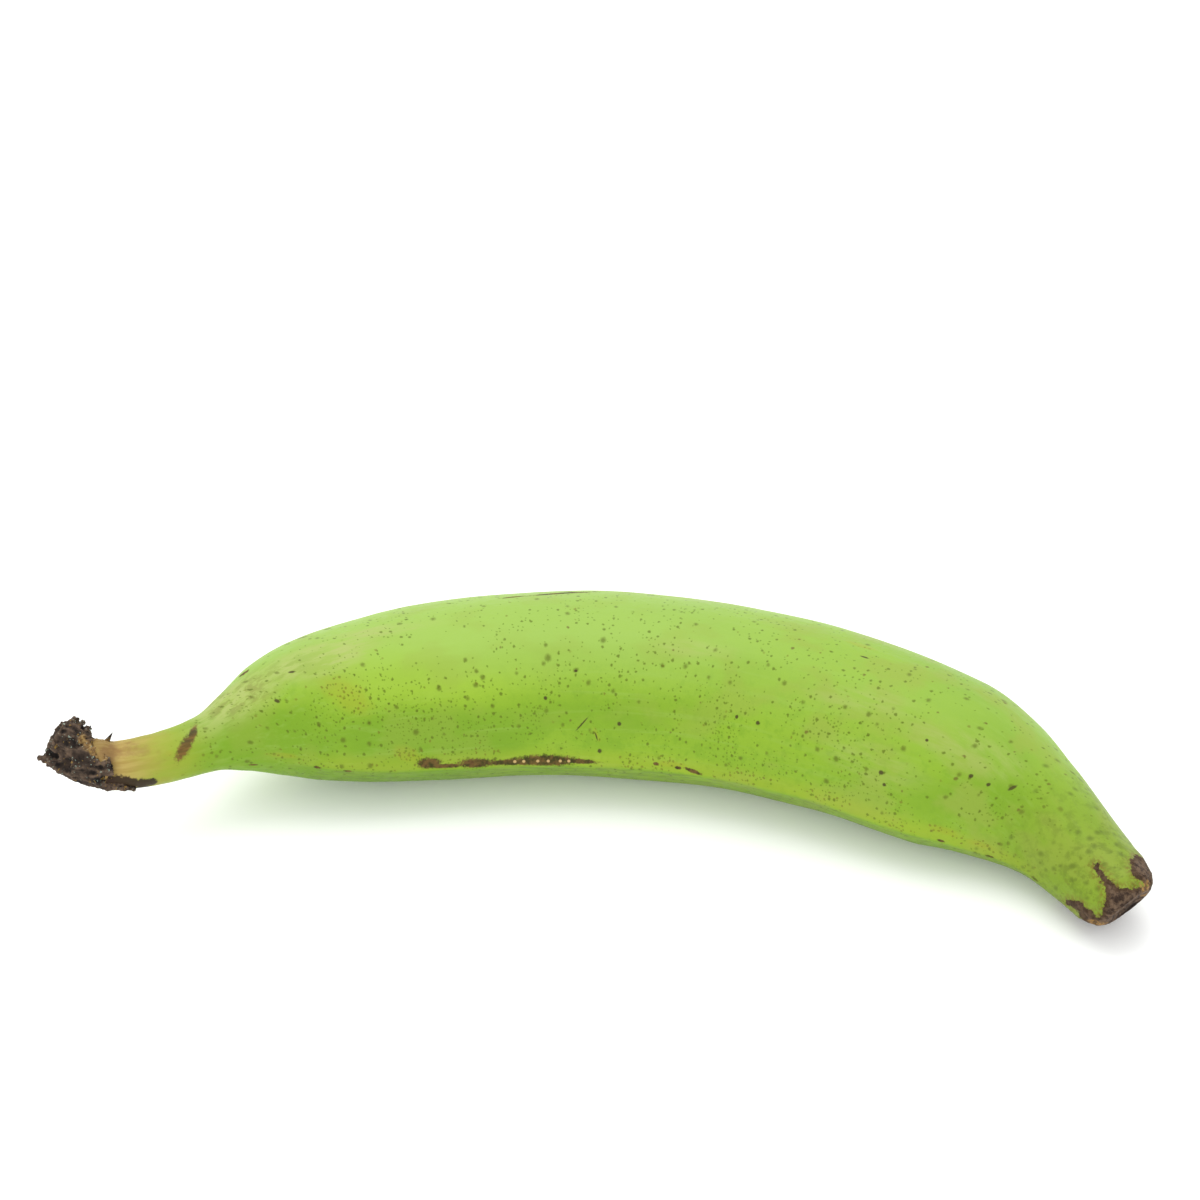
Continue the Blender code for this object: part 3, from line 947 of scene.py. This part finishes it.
# The white table that the fruit lies on, of a sheet faintly lit from below, and the studio round
# it: a broad soft light overhead and a little behind, in a white room.
bm = bmesh.new()
bmesh.ops.create_grid(bm, x_segments=1, y_segments=1, size=4.0)
bmesh.ops.translate(bm, verts=bm.verts, vec=(0, 0, -0.0001))
mesh = bpy.data.meshes.new("table")
bm.to_mesh(mesh)
bm.free()
table = bpy.data.objects.new("table", mesh)
bpy.context.scene.collection.objects.link(table)
white = Recipe("white_table")
white.shader.inputs["Base Color"].default_value = (0.92, 0.93, 0.92, 1.0)
white.shader.inputs["Roughness"].default_value = 0.9
white.shader.inputs["Emission Color"].default_value = (0.94, 0.97, 1.0, 1.0)
white.shader.inputs["Emission Strength"].default_value = 0.10
mesh.materials.append(white.material)

room = bpy.data.worlds.new("white_room")
room.use_nodes = True
room.node_tree.nodes["Background"].inputs["Color"].default_value = (1.0, 1.0, 1.0, 1.0)
room.node_tree.nodes["Background"].inputs["Strength"].default_value = 1.28
bpy.context.scene.world = room

softbox = bpy.data.lights.new("softbox", "AREA")
softbox.shape = "SQUARE"
softbox.size = 1.2
softbox.energy = 6.0
overhead = bpy.data.objects.new("softbox", softbox)
overhead.location = (-0.2, 0.35, 1.2)
overhead.rotation_euler = (Vector((0, 0, 0)) - overhead.location).to_track_quat("-Z", "Y").to_euler()
bpy.context.scene.collection.objects.link(overhead)
bpy.context.scene.view_settings.view_transform = "Standard"

# The camera looks down on the hollow side from a little to the stalk's side of square, with the
# fruit in the lower half of the picture.
AIM = Vector((-0.0158, 0.0813, 0.0))
DISTANCE = 1.32
PICTURE = 1200  # pixels across
FOCAL_LENGTH = 5100  # pixels
camera = bpy.data.objects.new("camera", bpy.data.cameras.new("camera"))
camera.location = AIM + DOWN_FROM * DISTANCE
camera.rotation_euler = DOWN_FROM.to_track_quat("Z", "Y").to_euler()
camera.data.sensor_width = 36
camera.data.lens = FOCAL_LENGTH / PICTURE * camera.data.sensor_width
bpy.context.scene.collection.objects.link(camera)
bpy.context.scene.camera = camera

bpy.context.view_layer.update()
